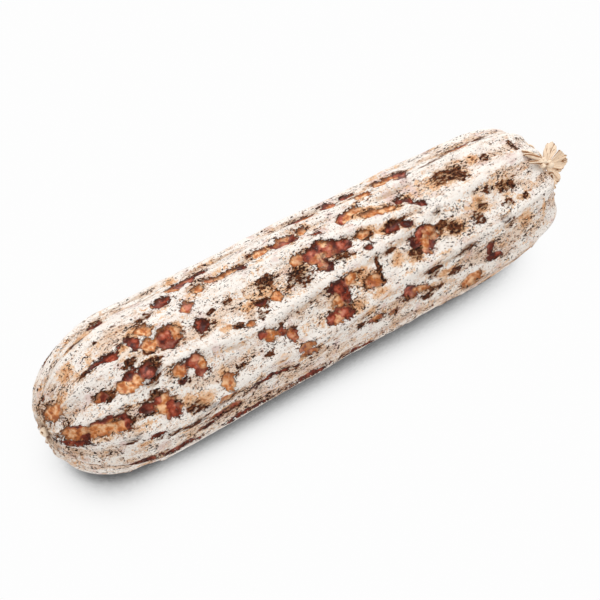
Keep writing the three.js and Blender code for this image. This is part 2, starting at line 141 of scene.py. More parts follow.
# Patches where fat shows through thin bloom: place along, angle, half length, half width
PEACH_PATCHES = [
    (-76, 1, 5.5, 3.6), (-85, 7, 2.4, 2.4), (-93, -27, 5.0, 4.0), (-98, -25, 4.0, 4.0),
    (-106, -10, 4.0, 4.0), (-114, 10, 4.0, 5.0), (-60, 12, 2.5, 2.2), (-48, -38, 3.0, 3.0),
    (-69, 65, 4.0, 3.0), (-63, 69, 5.0, 4.0), (-52, 58, 3.0, 3.0), (-54, 91, 8.0, 3.0),
    (-91, 84, 4.0, 2.0), (-17, 82, 3.0, 1.6), (-27, 71, 5.0, 2.0), (-43, 31, 2.5, 2.0),
    (-30, 23, 3.0, 2.5), (-20, 18, 5.0, 4.0), (-8, -14, 4.0, 2.0), (-3, 17, 5.0, 3.0),
    (30, 14, 6.0, 3.0), (38, 19, 7.0, 3.0), (46, 24, 4.0, 2.0), (54, 1, 3.0, 2.4),
    (36, -2, 9.0, 3.0), (46, 6, 5.0, 2.6), (76, 2, 9.0, 5.0), (67, 2, 3.5, 4.5),
    (89, -5, 3.5, 2.6), (44, 47, 5.0, 3.6), (36, 44, 3.0, 4.0), (61, 38, 4.0, 3.2),
    (66, 43, 5.5, 4.2), (80, 35, 5.0, 5.0), (93, 30, 5.5, 3.0), (100, 46, 3.2, 2.2),
    (17, 41, 5.5, 3.6), (21, 49, 6.0, 4.6), (17, 70, 3.2, 2.2), (24, 62, 5.0, 3.0),
    (55, 74, 4.0, 2.4), (98, 66, 5.0, 5.0), (108, 68, 1.4, 6.0), (68, 97, 6.5, 4.0),
    (5, 51, 5.0, 3.0), (-105, 57, 9.0, 5.0), (-78, 27, 5.0, 3.5), (12, 62, 4.0, 3.0),
]

# Patches of dark crumbs of dried meat juice: place along, angle, half length, half width
CRUMB_PATCHES = [
    (-80, 37, 5.0, 2.6), (-84, 19, 3.2, 2.0), (-76, 18, 2.5, 1.8), (-76, 28, 4.0, 3.5),
    (-100, 32, 4.5, 3.0), (-102, 6, 2.5, 2.0), (-68, -9, 5.5, 2.0), (-91, -15, 2.0, 1.5),
    (-97, -25, 4.0, 3.0), (-67, 72, 4.5, 2.8), (-62, 76, 4.0, 2.0), (-54, 92, 6.0, 2.6),
    (-96, 74, 4.0, 3.0), (-74, 86, 12.0, 1.6), (-15, 71, 2.4, 1.4), (-44, 62, 2.5, 2.0),
    (-32, 62, 2.5, 2.5), (-37, 13, 2.5, 2.0), (-45, 14, 2.5, 1.4), (-39, 33, 3.2, 2.4),
    (-24, 25, 4.5, 2.2), (-27, 34, 3.0, 1.6), (-19, 12, 5.0, 3.0), (74, -20, 7.5, 1.8),
    (100, -25, 4.0, 3.0), (109, 0, 2.0, 4.0), (-5, 22, 7.0, 5.0), (15, 22, 5.0, 3.0),
    (30, 17, 4.0, 2.0), (41, 19, 5.0, 2.6), (75, 0, 8.0, 4.6), (80, 6, 3.2, 4.0),
    (94, -2, 2.5, 2.0), (44, 46, 4.0, 2.8), (65, 43, 4.0, 3.2), (61, 36, 3.0, 2.4),
    (34, 35, 3.2, 1.6), (81, 36, 2.8, 3.2), (77, 44, 3.6, 3.6), (87, 28, 3.2, 1.6),
    (94, 31, 5.0, 3.5), (100, 46, 2.6, 1.6), (92, 45, 3.0, 2.0), (27, 45, 1.8, 7.0),
    (19, 51, 3.2, 2.6), (11, 82, 3.2, 1.6), (50, 67, 5.0, 3.6), (60, 78, 4.2, 2.6),
    (50, 84, 3.2, 2.0), (46, 89, 5.0, 1.8), (35, 80, 3.0, 1.6), (-82, 46, 3.0, 2.0),
    (-94, 58, 3.5, 2.0), (61, 23, 4.0, 2.0), (68, 62, 4.0, 2.6), (88, 55, 5.0, 2.0),
]

# The same, laid at random where the sausage is not seen
HIDDEN_SEED = 77
HIDDEN_PLACES = (-106, 106)
HIDDEN_ANGLES = (127.0, 303.0)
HIDDEN_HALF_LENGTHS = (2, 7)
HIDDEN_WIDTH_SHARES = (0.4, 0.85)
HIDDEN_SPOTS = 110
HIDDEN_PEACH = 60
HIDDEN_CRUMBS = 75

# Mesh of the body
AROUND = 360
ALONG = 270
END_GAP = 0.6
OUTLINE_STEPS = 4000

# Relief that is too fine for the solids: a spot lies lower than the ridges, and its crust is missing
LUMP_HEIGHT = 0.28
SPOT_DROP = 0.35
CRUST_DEPTH = 0.6
RIM_HEIGHT = 0.15
RIM_PLACE = -0.9
RIM_WIDTH = 0.7
SHARP_CREST_HEIGHT = 0.55
SHARP_CREST_WIDTH = 1.6
CREASE_DEPTH = 0.85
CREASE_WIDTH = 1.3
CREASE_PLACE = 3.6
WRINKLE_HEIGHT = 0.24
FINE_LINE_DEPTH = 0.22
CHUNK_HEIGHT = 0.22
MEAT_BUMP = 0.28
BUD_RING_RADIUS = 2.6
BUD_RING_WIDTH = 1.1
EVEN_RADIUS = 30
SPOT_WARP = 2.4
SPOT_WARP_ACROSS = 2.0
SPOT_FINE_WARP = 0.5

# Noises of the relief: size along and across in millimetres, layers, and a shift that keeps each one apart
RELIEF_NOISES = {
    "spot_warp": (4.0, 4.0, 3, 11.0),
    "spot_warp_across": (4.0, 4.0, 3, 31.0),
    "spot_fine_warp": (1.6, 1.6, 1, 5.0),
    "crease": (17, 17, 2, 71.0),
    "chunks": (5.5, 5.5, 2, 3.0),
    "wrinkles": (15.0, 2.1, 2, 21.0),
    "wrinkle_share": (28, 28, 2, 9.0),
    "lines": (13.0, 1.9, 2, 61.0),
    "casing_edge": (4.0, 4.0, 2, 51.0),
    "meat": (2.6, 2.6, 2, 41.0),
}

# Neck at the far end, as in the solids
NECK_START_RADIUS = 3.6
NECK_RADIUS = 1.25
NECK_LENGTH = 8.2
NECK_SINK = 4.3
NECK_PLEATS = 9
NECK_PLEAT_SHARE = 0.13
NECK_TURN = 8.4
NECK_MESH = {"places": 30, "sides": 54}

# Tie: a ring of twine with its lays of twist, and a knot
TIE_PLACE = 5.7
TIE_GAP = 0.3
TIE_THICKNESS = 1.15
TIE_LAYS = 26
TIE_LAY_DEPTH = 0.12
TIE_MESH = {"places": 72, "sides": 14}
TIE_KNOT_ANGLE = 35.0
TIE_KNOT_RADIUS = 1.5
TIE_KNOT = {"places": 22, "sides": 24, "twist": 9, "groove": 0.07, "fold_shade_and_tone": (0.4, 0.4)}

# Gathered strands: angle at the start, distance from the pole there, radius, turn on the way to the neck
STRANDS = [
    (11, 26.0, 0.75, 20), (15, 26.3, 0.95, 17), (19, 25.6, 0.8, 14), (23, 26.0, 0.95, 11),
    (27, 25.0, 0.8, 8), (2, 17.0, 0.8, 24), (-18, 15.0, 0.9, 24), (46, 18.5, 0.9, 10),
    (-40, 15.0, 1.0, 25), (-60, 15.0, 0.9, 25), (-90, 14.0, 1.0, 25), (80, 15.0, 0.9, 25),
    (110, 13.5, 1.0, 25), (140, 14.0, 0.9, 25), (170, 15.0, 1.0, 25), (205, 14.0, 0.9, 25),
    (235, 15.0, 1.0, 25),
]
STRAND_LIFT = 0.7
STRAND_SINK = 0.9
STRAND_END = 0.8
STRAND_NARROWING = 0.25
STRAND_WANDER = 0.9
STRAND_MESH = {"places": 44, "sides": 18}

# Lumps where the strands cross: angle, distance from the pole, lift, radius
STRAND_LUMPS = [(29, 23.6, 1.2, 1.6), (35, 21.0, 1.5, 1.9), (33, 24.4, 0.8, 1.2)]
STRAND_LUMP = {"places": 20, "sides": 20, "twist": 5, "groove": 0.08, "fold_shade_and_tone": (0.3, 0.35)}

# Sheets of dry casing: turn, half angle, length, peak, rounding, lean, waves, wave height
SHEETS = [
    (21, 31, 9.8, 0.5, 0.12, 16, 1.5, 0.7),
    (78, 24, 11.0, -0.2, 0.42, -14, 1.0, 0.5),
    (44, 36, 7.2, 0.2, 0.2, -58, 1.4, 0.7),
    (-46, 22, 9.7, -1.2, 0.08, 22, 1.0, 0.5),
    (-68, 4, 10.4, 0.0, 0.0, 6, 0.4, 0.3),
    (-14, 15, 7.2, 0.3, 0.2, -8, 1.2, 0.5),
]
SHEET_RIGHT = np.array([0.816, -0.578, 0.0])
SHEET_UP = np.array([0.443, 0.625, 0.643])
SHEET_FRONT = np.array([-0.371, -0.525, 0.766])
SHEET_THICKNESS = 0.4
SHEET_ROOT = 0.5
SHEET_ROWS = 40
SHEET_COLUMNS = 72

# Twisted bud that closes the casing at the near end
BUD_AXIS = np.array([-0.80, -0.28, 0.52])
BUD_RADIUS = 2.15
BUD_HEIGHT = 2.7
BUD_SINK = 1.5
BUD_DIMPLE = 0.5
BUD_SPIRAL_TURNS = 1.5
BUD_RINGS = 26
BUD_SIDES = 40

# How the blobs of meat are warped and rounded
BLOB_WARP_SCALE = 1.7
BLOB_WARP = 0.55
BLOB_SMOOTHNESS = 0.35

# Noises of the casing: size in millimetres, layers, their strength, factor along the sausage, and shift
CASING_NOISES = {
    "grain": (0.5, 2.0, 0.6, 1.0, 30.0),
    "coarse_grain": (1.3, 4.0, 0.7, 1.0, 33.0),
    "lean": (2.8, 2.0, 0.5, 1.0, 6.0),
    "fat": (2.2, 2.0, 0.5, 1.0, 9.0),
    "thin": (7.0, 4.0, 0.6, 0.5, 14.0),
    "rose": (7.0, 3.0, 0.5, 1.0, 18.0),
    "dust": (3.4, 3.0, 0.6, 0.45, 22.0),
    "patch": (6.0, 4.0, 0.6, 0.55, 60.0),
    "stain": (2.0, 3.0, 0.65, 1.0, 64.0),
    "crumbs": (1.6, 4.0, 0.68, 0.55, 75.0),
    "gather": (3.4, 3.0, 0.65, 0.4, 55.0),
    "speck": (0.75, 2.0, 0.7, 0.6, 40.0),
    "freckle": (0.85, 2.0, 0.7, 0.7, 97.0),
    "flecks": (0.8, 3.0, 0.7, 1.0, 80.0),
    "fibres": (0.9, 3.0, 0.6, 0.2, 90.0),
}
BLOB_SIZE = 4.2
BLOB_SHIFT = 4.0
SPOT_GROWTH = 0.25
BLOOM_ROUGHNESS = 0.9
MEAT_SMOOTHNESS = 0.56
CASING_SPECULAR = 0.22
POWDER_BUMP = (0.9, 0.5)
FIBRE_BUMP = (0.6, 0.3)

# Material of dry casing and twine
BLOTCH_SIZE = 1.6
FIBRE_SIZE = 0.5
FIBRE_SPECULAR = 0.3
FIBRE_RELIEF = (0.5, 0.15)

# Glow of the floor, with its shadow painted in: for each share of the sky that it sees, a thin dark line
# under the sausage, then pale
FLOOR_GLOW = [
    (0.24, 0.08), (0.262, 0.14), (0.277, 0.24), (0.288, 0.34), (0.303, 0.48), (0.33, 0.65),
    (0.365, 0.77), (0.42, 0.88), (0.52, 0.96), (0.62, 0.985),
]
FLOOR_REACH = 0.2
FLOOR_LIGHT_SIDE = (0.0, -0.287, 0.958)
# Painted shadow beyond the near end: where along -X in millimetres it starts and where it is full, and how
# much darker it makes the floor
FLOOR_NEAR_SHADOW_RANGE = (80.0, 118.0)
FLOOR_NEAR_SHADE = 0.14
FLOOR_SAMPLES = 24
FLOOR_HALF = 3.0
FLOOR_DROP = 0.0001

# Lights: place and size in metres, and power
KEY_LIGHT = ((0.3, 0.1, 1.9), 1.0, 15.0)
REAR_LIGHT = ((0.65, 0.92, 1.15), 0.5, 4)
WORLD_STRENGTH = 0.7

# Camera at the photograph's angle, far enough off for its flat perspective
CAMERA_AZIMUTH = -34.741
CAMERA_ELEVATION = 50.0
CAMERA_DISTANCE = 1.0
CAMERA_AIM = (1.085 + MIDDLE_X, 0.095 + MIDDLE_Y, 31.0)
CAMERA_CLIP = (0.05, 20)
IMAGE_WIDTH = 600
FOCAL_PIXELS = 2452
SENSOR_WIDTH = 36.0


def smoothstep(low, high, value):
    part = np.clip((value - low) / (high - low), 0, 1)
    return part * part * (3 - 2 * part)


def bell(value, width):
    return np.exp(-((value / width) ** 2))


# Smooth noise between -1 and 1 over any points, from a seeded lattice that repeats every 64 cells
LATTICE = 64
LATTICE_SEED = 1936
lattice_values = np.random.default_rng(LATTICE_SEED).uniform(-1, 1, (LATTICE,) * 3)


def noise(points, shift=0.0):
    spot = points + shift
    cell = np.floor(spot).astype(int)
    part = spot - cell
    part = part * part * (3 - 2 * part)
    total = np.zeros(spot.shape[:-1])
    for corner in range(8):
        offset = np.array([corner & 1, (corner >> 1) & 1, (corner >> 2) & 1])
        index = (cell + offset) % LATTICE
        weight = np.where(offset == 1, part, 1 - part).prod(-1)
        total += weight * lattice_values[index[..., 0], index[..., 1], index[..., 2]]
    return total


def layered_noise(points, layers, shift=0.0):
    total = np.zeros(points.shape[:-1])
    strength = 1.0
    for layer in range(layers):
        total += strength * noise(points * 2.03 ** layer, shift + 7.3 * layer)
        strength *= 0.5
    return total / (2 - 2 * 0.5 ** layers)


def relief_noise(name, points):
    along, across, layers, shift = RELIEF_NOISES[name]
    return layered_noise(points / np.array([along, across, across]), layers, shift)


def end_fullness(distance, reach, power):
    left = 1 - np.clip(distance / reach, 0, 1)
    return (1 - left ** power) ** (1 / power)


def straight_radius(x):
    return NEAR_RADIUS + (FAR_RADIUS - NEAR_RADIUS) * (x / BODY_LENGTH + 0.5)


def body_radius(x):
    near = end_fullness(x + BODY_LENGTH / 2, NEAR_REACH, NEAR_POWER)
    far = end_fullness(BODY_LENGTH / 2 - x, FAR_REACH, FAR_POWER)
    return straight_radius(x) * near * far


def axis_height(x):
    part = 2 * x / BODY_LENGTH
    lift = np.where(x < 0, NEAR_LIFT, FAR_LIFT)
    return straight_radius(x) - PRESSED_DEPTH + lift * np.clip((np.abs(part) - 0.5) / 0.5, 0, 1) ** 2


def axis_bow(x):
    return SIDE_BOW * (1 - (2 * x / BODY_LENGTH) ** 2)


def crest_angle(values, x):
    step = CREST_STATIONS[1] - CREST_STATIONS[0]
    place = np.clip((x - CREST_STATIONS[0]) / step, 0, len(values) - 1.001)
    index = np.floor(place).astype(int)
    part = place - index
    given = np.array(values, float)
    before, start = given[np.maximum(index - 1, 0)], given[index]
    end, after = given[index + 1], given[np.minimum(index + 2, len(values) - 1)]
    start_slope, end_slope = (end - before) / 2, (after - start) / 2
    curve = (2 * start - 2 * end + start_slope + end_slope) * part ** 3
    curve += (3 * end - 3 * start - 2 * start_slope - end_slope) * part ** 2
    return curve + start_slope * part + start


def angle_between(first, second):
    return np.abs((first - second + 540) % 360 - 180)


# Distance in millimetres from the nearest crest, more than 0 below the crest on the -Y side
def crest_distance(x, angle):
    nearest = np.full_like(x, 99.0)
    crests = [crest_angle(values, x) for values in SHOWN_CRESTS]
    for index, middle in enumerate(BACK_CRESTS):
        crests.append(middle + BACK_WANDER * np.sin(x / 34 + 1.9 * index))
    for crest in crests:
        away = np.radians((angle - crest + 540) % 360 - 180) * CREST_RADIUS
        nearest = np.where(np.abs(away) < np.abs(nearest), away, nearest)
    return nearest


def lump_field(x, angle):
    turn = np.radians(angle)
    slow = np.sin(x / 13 + 2 * np.sin(2 * turn)) * np.sin(3 * turn + x / 19)
    return slow + 0.6 * np.sin(x / 7.5 + 1.3 * np.cos(3 * turn)) * np.cos(5 * turn - x / 23)


def pucker_relief(pucker, radius, angle):
    fade = smoothstep(1, 5, radius) * (1 - smoothstep(0.4 * pucker["reach"], pucker["reach"], radius))
    twist = pucker["twist"] * (1 - radius / pucker["reach"])
    pleat = np.cos(np.radians(pucker["pleats"] * (angle + twist)))
    return fade * pucker["height"] * pleat - pucker["depth"] * bell(radius, pucker["radius"])


# For each point: how far inside a bare spot it lies in millimetres, the kind of meat there,
# its place from the upper to the lower edge of the spot, and how deep it lies in a peach or crumb patch
def spot_fields(x, angle, radius, points):
    warp = SPOT_WARP * relief_noise("spot_warp", points)
    warp_across = SPOT_WARP_ACROSS * relief_noise("spot_warp_across", points)
    fine = SPOT_FINE_WARP * relief_noise("spot_fine_warp", points)
    draw = np.random.default_rng(HIDDEN_SEED)

    def spread(spot):
        place, middle, half_length, half_width = spot[:4]
        along = (x + warp - place) / half_length
        arc = np.radians((angle - middle + 540) % 360 - 180) * np.minimum(radius + 2, CREST_RADIUS)
        across = (arc + warp_across) / half_width
        return np.sqrt(along ** 2 + across ** 2), across

    inside = np.full_like(x, -9.0)
    kind_sum = np.full_like(x, 0.5e-4)
    kind_weight = np.full_like(x, 1e-4)
    side = np.zeros_like(x)
    for spot in BARE_SPOTS + hidden_spots(draw, HIDDEN_SPOTS):
        away, across = spread(spot)
        depth = (1 - away) * min(spot[2], spot[3])
        closer = depth > inside
        inside = np.where(closer, depth, inside)
        side = np.where(closer, across, side)
        weight = np.exp(-4.5 * away)
        kind_sum += weight * spot[4]
        kind_weight += weight
    patches = []
    for shown, hidden_count in ((PEACH_PATCHES, HIDDEN_PEACH), (CRUMB_PATCHES, HIDDEN_CRUMBS)):
        patch = np.full_like(x, -1.0)
        for spot in shown + hidden_spots(draw, hidden_count):
            patch = np.maximum(patch, 1 - spread(spot)[0])
        patches.append(patch)
    return inside + fine, kind_sum / kind_weight, side, *patches


def hidden_spots(draw, count):
    spots = []
    for index in range(count):
        place = draw.uniform(*HIDDEN_PLACES)
        angle = draw.uniform(*HIDDEN_ANGLES)
        half_length = draw.uniform(*HIDDEN_HALF_LENGTHS)
        half_width = half_length * draw.uniform(*HIDDEN_WIDTH_SHARES)
        spots.append((place, angle, half_length, half_width, draw.uniform(0, 1)))
    return spots


def add_object(name, data):
    added = bpy.data.objects.new(name, data)
    bpy.context.collection.objects.link(added)
    return added


def make_mesh(name, points, faces, attributes=None):
    mesh = bpy.data.meshes.new(name)
    mesh.from_pydata((np.asarray(points) * TO_METRES).tolist(), [], faces)
    for attribute, values in (attributes or {}).items():
        layer = mesh.attributes.new(attribute, "FLOAT", "POINT")
        layer.data.foreach_set("value", np.asarray(values, np.float32).ravel())
    mesh.shade_smooth()
    mesh.validate()
    return add_object(name, mesh)


ALONG_X = np.array([1.0, 0, 0])
NEAR_POLE = np.array([-BODY_LENGTH / 2 + MIDDLE_X, MIDDLE_Y, float(axis_height(-BODY_LENGTH / 2))])
FAR_POLE = np.array([BODY_LENGTH / 2 + MIDDLE_X, MIDDLE_Y, float(axis_height(BODY_LENGTH / 2))])


# Direction away from the axis at a turn in radians
def outward_at(turn):
    return np.array([0, -math.sin(turn), math.cos(turn)])


# Point on the body from its place along, angle, radius and height above the plain body
def place_points(x, angle, radius, out_x, out_radius, height):
    turn = np.radians(angle)
    full = radius + height * out_radius
    y = axis_bow(x) - full * np.sin(turn)
    z = np.maximum(axis_height(x) + full * np.cos(turn), 0.0)
    return np.stack([x + height * out_x + MIDDLE_X, y + MIDDLE_Y, z], -1)


# Rings evenly spaced along the plain body's outline: place, radius, and the outward direction's two parts
def ring_places():
    steps = np.linspace(0, 1, OUTLINE_STEPS) ** 4
    x = np.concatenate([
        -BODY_LENGTH / 2 + NEAR_REACH * steps,
        np.linspace(-BODY_LENGTH / 2 + NEAR_REACH, BODY_LENGTH / 2 - FAR_REACH, OUTLINE_STEPS)[1:-1],
        BODY_LENGTH / 2 - FAR_REACH * steps[::-1],
    ])
    radius = body_radius(x)
    arc = np.concatenate([[0], np.cumsum(np.hypot(np.diff(x), np.diff(radius)))])
    wanted = np.linspace(END_GAP, arc[-1] - END_GAP, ALONG)
    ring_x = np.interp(wanted, arc, x)
    ring_radius = np.interp(wanted, arc, radius)
    run = np.gradient(ring_x, wanted)
    rise = np.gradient(ring_radius, wanted)
    slant = np.hypot(run, rise)
    return ring_x, ring_radius, -rise / slant, run / slant


# Faces between rings of points, closed by one point at each end
def ring_faces(count, sides, first, start, end):
    faces = []
    last = first + (count - 1) * sides
    for side in range(sides):
        after = (side + 1) % sides
        faces.append((start, first + after, first + side))
        faces.append((end, last + side, last + after))
        for lower in range(first, last, sides):
            upper = lower + sides
            faces.append((lower + side, lower + after, upper + after, upper + side))
    return faces


def body_piece():
    x, radius, out_x, out_radius = [np.repeat(values[:, None], AROUND, 1) for values in ring_places()]
    angle = np.repeat((np.arange(AROUND) * 360 / AROUND)[None, :], ALONG, 0)
    turn = np.radians(angle)
    plain = np.stack([x, radius * np.sin(turn), radius * np.cos(turn)], -1)
    around = np.stack([x, EVEN_RADIUS * np.sin(turn), EVEN_RADIUS * np.cos(turn)], -1)
    near = x < 0

    from_crest = crest_distance(x, angle)
    crest = bell(from_crest, RIDGE_HALF_WIDTH)
    sharp_crest = bell(from_crest, SHARP_CREST_WIDTH)
    crease = bell(from_crest - CREASE_PLACE, CREASE_WIDTH)
    crease *= smoothstep(-0.25, 0.35, relief_noise("crease", plain))
    underside = bell(angle_between(angle, 180), UNDERSIDE_HALF_ANGLE)
    along = np.where(
        near,
        smoothstep(NEAR_PUCKER["plain_radius"], NEAR_PUCKER["ridged_radius"], radius),
        smoothstep(FAR_PUCKER["plain_radius"], FAR_PUCKER["ridged_radius"], radius),
    )
    near_relief, far_relief = [pucker_relief(pucker, radius, angle) for pucker in (NEAR_PUCKER, FAR_PUCKER)]
    end = np.where(np.abs(x) > BODY_LENGTH / 4, np.where(near, near_relief, far_relief), 0)
    ridge = -RIDGE_DEPTH * (1 - crest) * (1 - underside)

    inside, kind, spot_side, peach, crumb = spot_fields(x, angle, radius, plain)
    window = smoothstep(-0.3, 0.8, inside)
    rim = bell(inside - RIM_PLACE, RIM_WIDTH)
    wrinkles = 1 - 2 * np.abs(relief_noise("wrinkles", around))
    wrinkle_share = 0.45 + 0.55 * smoothstep(-0.1, 0.5, relief_noise("wrinkle_share", plain))
    wrinkle_share = np.maximum(wrinkle_share, 0.7 * smoothstep(70, 112, np.abs(x)))

    # Dry casing: a band low on the side that shows, the low part of the near end, and a little at both ends
    low_side = smoothstep(17, 3, angle_between(angle, 107))
    near_end = smoothstep(104, 119, -x) * smoothstep(68, 98, angle)
    dry = np.maximum(low_side, near_end)
    lines = smoothstep(0.22, 0.0, np.abs(relief_noise("lines", around)))
    lines *= np.maximum(np.maximum(dry, 0.45 * smoothstep(92, 118, np.abs(x))), 0.25)
    edge_radius = radius + 3 * relief_noise("casing_edge", plain)
    casing = np.where(near, smoothstep(7, 3, edge_radius), smoothstep(15, 10, edge_radius))
    bud_ring = np.where(near, bell(radius - BUD_RING_RADIUS, BUD_RING_WIDTH), 0)

    height = along * (ridge + LUMP_HEIGHT * lump_field(x, angle) - SPOT_DROP * window) + end
    height += CHUNK_HEIGHT * relief_noise("chunks", plain) * along
    height += WRINKLE_HEIGHT * (wrinkles - 0.5) * wrinkle_share * (1 - window)
    height -= FINE_LINE_DEPTH * lines * (1 - window)
    height += (SHARP_CREST_HEIGHT * sharp_crest - CREASE_DEPTH * crease) * (1 - window) * along
    meat = MEAT_BUMP * relief_noise("meat", plain) * window
    height += (-CRUST_DEPTH * window + RIM_HEIGHT * rim + meat) * smoothstep(2, 8, radius)
    height *= 1 - 0.7 * underside * (np.abs(x) < 90)

    points = place_points(x, angle, radius, out_x, out_radius, height).reshape(-1, 3)
    poles = [NEAR_POLE + NEAR_PUCKER["depth"] * ALONG_X, FAR_POLE - FAR_PUCKER["depth"] * ALONG_X]
    points = np.concatenate([points, poles])

    # Each attribute with its value at the two end points
    attributes = {
        "bare": (inside, -5.0), "kind": (kind, 0.5), "side": (spot_side, 0.0), "peach": (peach, 0.0),
        "crumb": (crumb, -1.0), "crest": (crest, 0.6), "crease": (crease, 0.0), "lines": (lines, 0.0),
        "dry": (dry, 0.0), "casing": (casing, 1.0), "bud_ring": (bud_ring, 1.0),
    }
    for name, (values, at_pole) in attributes.items():
        attributes[name] = np.concatenate([values.ravel(), [at_pole, at_pole]])
    faces = ring_faces(ALONG, AROUND, 0, ALONG * AROUND, ALONG * AROUND + 1)
    return make_mesh("bloomed_casing", points, faces, attributes)


# Nodes of one material, with short calls for the ones that repeat
class Shader:
    def __init__(self, name):
        self.material = bpy.data.materials.new(name)
        self.material.use_nodes = True
        self.tree = self.material.node_tree
        self.tree.nodes.clear()
        self.surface = self.node("ShaderNodeBsdfPrincipled", {})
        self.node("ShaderNodeOutputMaterial", {0: self.surface.outputs[0]})
        coordinates = self.node("ShaderNodeTexCoord", {})
        self.place = self.vector("MULTIPLY", coordinates.outputs["Object"], (TO_MILLIMETRES,) * 3)

    # A value or a link for each input that is named
    def fill(self, node, inputs):
        for name, value in inputs.items():
            if isinstance(value, bpy.types.NodeSocket):
                self.tree.links.new(value, node.inputs[name])
            else:
                node.inputs[name].default_value = value
        return node

    def node(self, kind, inputs):
        return self.fill(self.tree.nodes.new(kind), inputs)

    def vector(self, operation, first, second):
        node = self.node("ShaderNodeVectorMath", {0: first, 1: second})
        node.operation = operation
        return node.outputs[0]

    def math(self, operation, first, second):
        node = self.node("ShaderNodeMath", {0: first, 1: second})
        node.operation = operation
        return node.outputs[0]

    def times(self, value, factor):
        return self.math("MULTIPLY", value, factor)

    # A value plus shares of others
    def plus(self, value, *shares):
        for other, share in shares:
            value = self.math("ADD", value, self.times(other, share))
        return value

    def one_minus(self, value):
        return self.math("SUBTRACT", 1.0, value)

    def attribute(self, name):
        node = self.node("ShaderNodeAttribute", {})
        node.attribute_name = name
        return node.outputs["Fac"]

    # Noise from 0 to 1: a factor along the sausage that is under 1 draws its grains out
    def noise(self, size, layers=2.0, strength=0.5, along=1.0, shift=0.0):
        place = self.vector("MULTIPLY", self.place, (along / size, 1 / size, 1 / size))
        place = self.vector("ADD", place, (shift,) * 3)
        inputs = {"Vector": place, "Scale": 1.0, "Detail": layers, "Roughness": strength}
        return self.node("ShaderNodeTexNoise", inputs).outputs["Fac"]

    # Rounded blobs with warped outlines, of a size in millimetres
    def blobs(self, size, shift):
        place = self.vector("MULTIPLY", self.place, (1 / size,) * 3)
        warp = self.node("ShaderNodeTexNoise", {"Vector": place, "Scale": BLOB_WARP_SCALE})
        moved = self.vector("MULTIPLY", warp.outputs["Color"], (BLOB_WARP,) * 3)
        place = self.vector("ADD", self.vector("ADD", place, moved), (shift,) * 3)
        node = self.node("ShaderNodeTexVoronoi", {"Vector": place, "Scale": 1.0})
        node.feature = "SMOOTH_F1"
        return self.fill(node, {"Smoothness": BLOB_SMOOTHNESS})

    def step(self, value, low, high):
        node = self.node("ShaderNodeMapRange", {"Value": value, "From Min": low, "From Max": high})
        node.interpolation_type = "SMOOTHSTEP"
        return node.outputs["Result"]

    def mix(self, share, first, second):
        node = self.node("ShaderNodeMix", {0: share})
        node.data_type = "RGBA"
        return self.fill(node, {6: first, 7: second}).outputs[2]

    def ramp(self, value, stops):
        node = self.node("ShaderNodeValToRGB", {0: value})
        elements = node.color_ramp.elements
        while len(elements) < len(stops):
            elements.new(0.5)
        for element, (position, colour) in zip(elements, stops):
            element.position = position
            element.color = colour
        return node.outputs["Color"]

    # Bump from a height, with its strength, its depth in millimetres and the bump that it lies on
    def bump(self, height, strength, depth, *after):
        inputs = {"Height": height, "Strength": strength, "Distance": depth * TO_METRES}
        inputs.update({"Normal": normal for normal in after})
        return self.node("ShaderNodeBump", inputs).outputs["Normal"]


# Colour from its red, green and blue on a 0 to 255 screen scale
def screen(red, green, blue):
    parts = [part / 255 for part in (red, green, blue)]
    linear = [part / 12.92 if part <= 0.04045 else ((part + 0.055) / 1.055) ** 2.4 for part in parts]
    return (*linear, 1.0)


BLOOM_WHITE_AND_HIGHLIGHT = screen(247, 240, 232)
BLOOM_CREAM_AND_SHADE = screen(231, 206, 184)
BLOOM_DUST = screen(196, 154, 120)
BLOOM_SHADE = screen(184, 154, 126)
BLOOM_ROSE = screen(222, 192, 184)
DARK_LEAN_AND_SHADE = screen(66, 16, 6)
RED_BROWN = screen(126, 46, 24)
MID_RED = screen(172, 76, 50)
PINK_BROWN = screen(212, 136, 112)
AMBER = screen(212, 132, 72)
PEACH = screen(246, 198, 152)
DEEP_FAT_AND_SHADE = screen(172, 94, 46)
DRY_EDGE_AND_SHADOW = screen(78, 36, 14)
BROWN_EDGE_AND_SHADOW = screen(122, 72, 38)
TAN_STAIN = screen(232, 194, 158)
AMBER_STAIN = screen(216, 158, 112)
BROWN_STAIN = screen(146, 90, 52)
OLIVE_STAIN = screen(150, 118, 86)
BROWN_CRUST = screen(100, 52, 27)
BLACK_CRUST = screen(36, 14, 4)
SPECK = screen(44, 20, 8)
DRY_CASING = screen(244, 222, 196)
CASING_SHADE_AND_TONE = screen(152, 102, 60)
TWINE = screen(244, 228, 204)
TWINE_SHADE_AND_TONE = screen(160, 116, 76)


